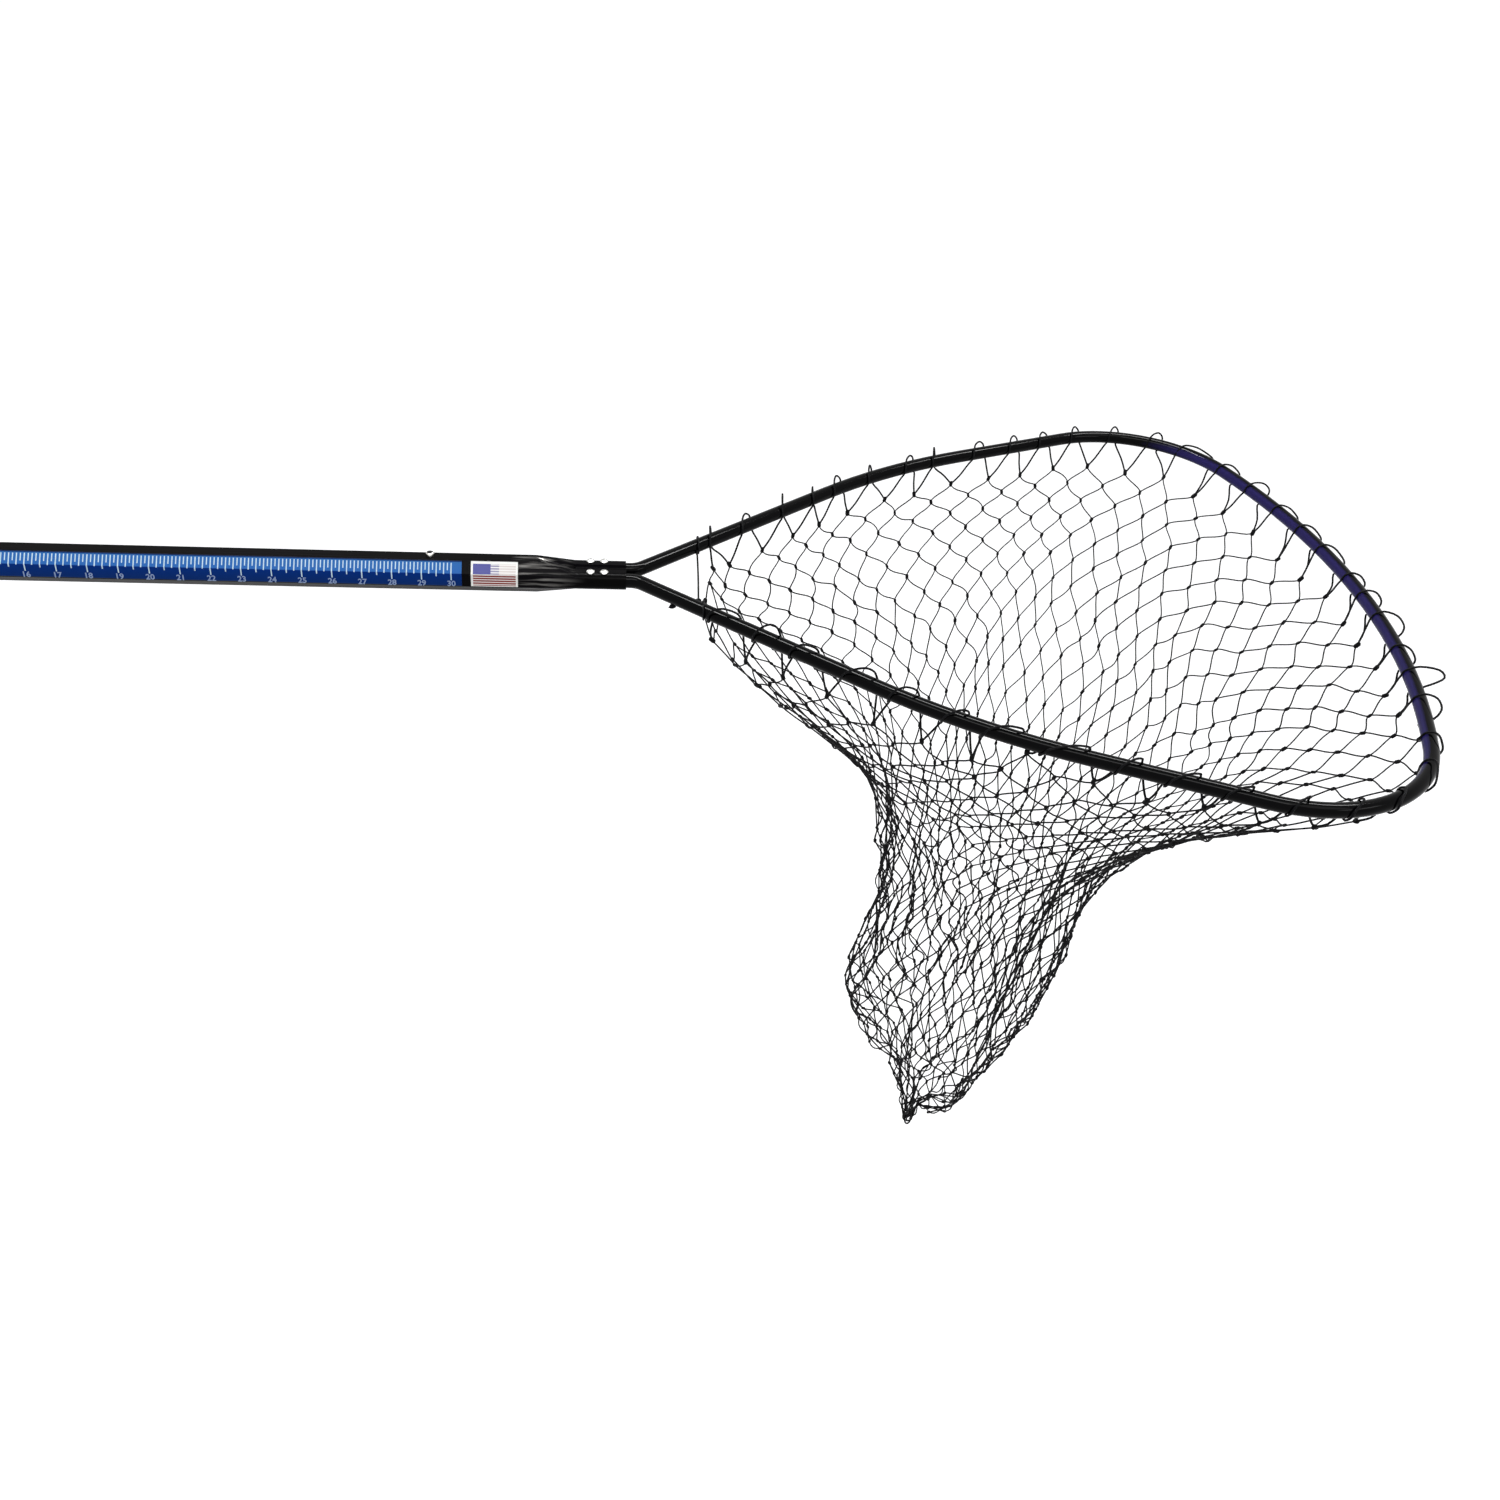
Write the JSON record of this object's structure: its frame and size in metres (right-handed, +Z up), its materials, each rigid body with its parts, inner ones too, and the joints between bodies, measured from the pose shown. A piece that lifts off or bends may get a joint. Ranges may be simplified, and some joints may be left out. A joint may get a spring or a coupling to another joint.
{
  "type": "landing net",
  "caption": "Landing net with a telescoping octagonal handle, a snap button, a bent tube hoop crimped into the handle and a deep knotted net bag.",
  "frame": {"origin": "middle of the hand grip, on the handle's axis", "axes": "+X along the handle to the hoop, +Y across the hoop, +Z up, square to the hoop; the bag hangs along -Z"},
  "size_m": [1.9312, 0.6768, 0.7771],
  "materials": {
    "black_tube": "gloss",
    "hoop_tube": "gloss",
    "bright_steel": "polished",
    "spring_steel": "satin",
    "ruler_film": "gloss",
    "stripe_film": "gloss",
    "black_plastic": "satin",
    "foam_grip": "matte",
    "loop_twine": "matte",
    "net_twine": "matte"
  },
  "bodies": {
    "grip_handle": {"inner_tube": "black_tube", "guide_bush": "black_plastic", "button_spring": "spring_steel", "grip": "foam_grip", "butt_cap": "black_plastic"},
    "net_head": {"outer_tube": "black_tube", "hoop": "hoop_tube", "yoke_screws": "bright_steel", "ruler_label": "ruler_film", "stripe_label": "stripe_film", "tube_collar": "black_plastic", "rim_loops_left": "loop_twine", "rim_loops_right": "loop_twine", "rim_loops_bow": "loop_twine", "net_funnel": "net_twine", "net_sack": "net_twine", "bag_seam": "loop_twine", "bottom_tie": "loop_twine"},
    "snap_button": {"snap_button": "bright_steel"}
  },
  "joints": [
    {"name": "handle_slide", "type": "slide", "parent": "grip_handle", "child": "net_head", "axis": [1, 0, 0], "range_m": [0, 0.61], "deforming": ["snap_button", "button_spring"]},
    {"name": "button_press", "type": "slide", "parent": "grip_handle", "child": "snap_button", "axis": [0, 0, -1], "range_m": [0, 0.0056], "stiffness_N_per_m": 2000, "deforming": ["button_spring"]}
  ]
}
